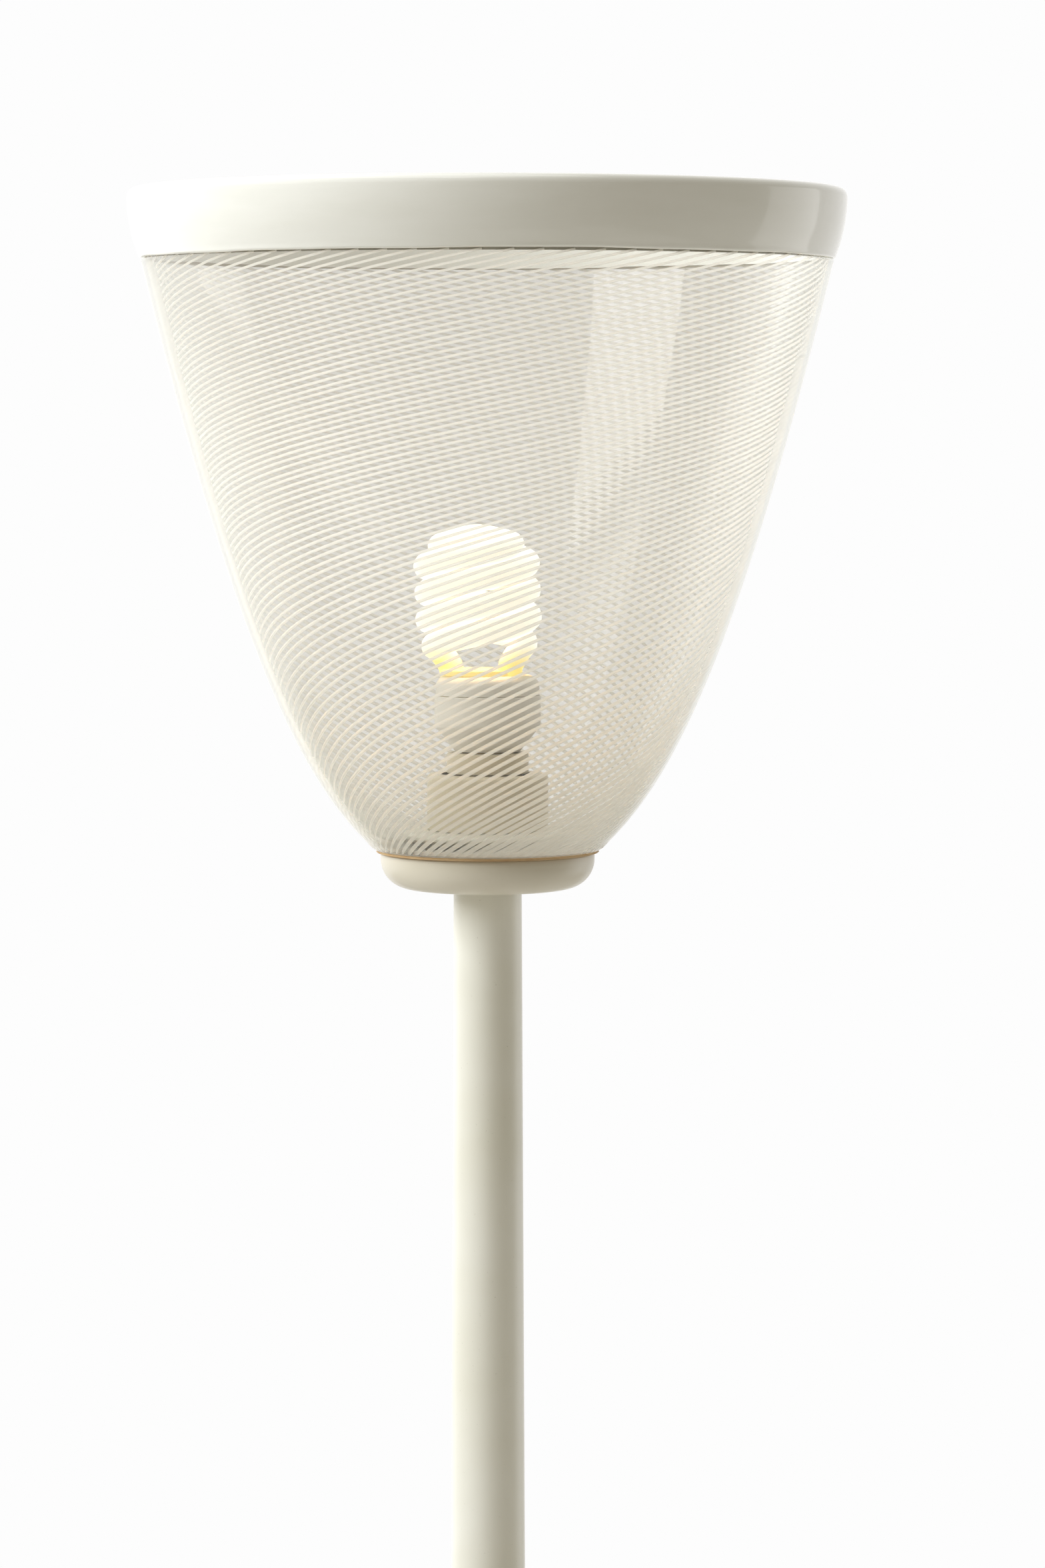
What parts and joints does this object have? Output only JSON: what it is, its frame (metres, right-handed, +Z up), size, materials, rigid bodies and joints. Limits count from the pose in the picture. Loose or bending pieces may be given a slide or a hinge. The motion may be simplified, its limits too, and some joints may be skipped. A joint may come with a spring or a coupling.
{
  "type": "torchiere floor lamp",
  "caption": "Torchiere floor lamp: blown cane-glass bowl with a white rim in a lacquered cup, on a slim tapered stem and weighted round base, with a screw-in spiral bulb.",
  "frame": {"origin": "centre of the base's underside, on the floor", "axes": "+Z up along the stem, -Y towards the viewer, the lead's gland at +Y"},
  "size_m": [0.3446, 0.3446, 1.78],
  "materials": {
    "cream_lacquer": "glossy baked lacquer, lightly worn",
    "cane_glass": "clear blown glass with white canes twisted in it",
    "white_glass": "opaque white glass, fire polished",
    "beige_plastic": "moulded, satin",
    "white_plastic": "moulded, fine matt",
    "black_plastic": "moulded",
    "lamp_glass": "phosphor-coated tube, lit",
    "cork": "brown cork-rubber sheet",
    "grey_rubber": "sheet rubber",
    "felt": "pressed felt",
    "cast_iron": "as cast, painted black",
    "zinc": "zinc plated",
    "brass": "pressed, bright",
    "steatite": "fired ceramic",
    "circuit_board": "phenolic board",
    "ferrite": "sintered ferrite",
    "brown_insulation": "insulation",
    "blue_insulation": "insulation"
  },
  "bodies": {
    "lamp": {"base_felt": "felt", "base_weight": "cast_iron", "base_cover": "cream_lacquer", "cord_gland": "black_plastic", "base_washer": "zinc", "base_lock_nut": "zinc", "base_nipple": "zinc", "foot_collar": "cream_lacquer", "foot_bush": "zinc", "stem_tube": "cream_lacquer", "neck_bush": "zinc", "neck_nipple": "zinc", "shade_cup": "cream_lacquer", "cup_gasket": "cork", "shade_bowl": "cane_glass", "shade_rim": "white_glass", "clamp_gasket": "grey_rubber", "clamp_disc": "cream_lacquer", "clamp_nut": "zinc", "holder_skirt": "beige_plastic", "holder_body": "beige_plastic", "holder_ring": "beige_plastic", "holder_screw_shell": "brass", "holder_plate": "steatite", "holder_contact": "brass", "terminal_live": "brass", "terminal_neutral": "brass", "lead_sheath": "black_plastic", "lead_core_live": "brown_insulation", "lead_core_neutral": "blue_insulation"},
    "bulb_lift": {"bulb_tip_contact": "zinc"},
    "bulb": {"bulb_cap_insulator": "black_plastic", "bulb_cap_shell": "brass", "bulb_housing_lower": "white_plastic", "bulb_housing_upper": "white_plastic", "bulb_spiral": "lamp_glass", "ballast_board": "circuit_board", "ballast_choke": "ferrite", "ballast_capacitor": "black_plastic"}
  },
  "joints": [
    {"name": "bulb_rise", "type": "slide", "parent": "lamp", "child": "bulb_lift", "axis": [0, 0, 1], "range_m": [0, 0.0128]},
    {"name": "bulb_turn", "type": "hinge", "parent": "bulb_lift", "child": "bulb", "pos_m": [0, 0, 1.493], "axis": [0, 0, 1], "range_deg": [0, 1260]}
  ],
  "couplings": [
    {"joint": "bulb_rise", "follows": "bulb_turn", "m_per_rad": 0.00057751}
  ]
}
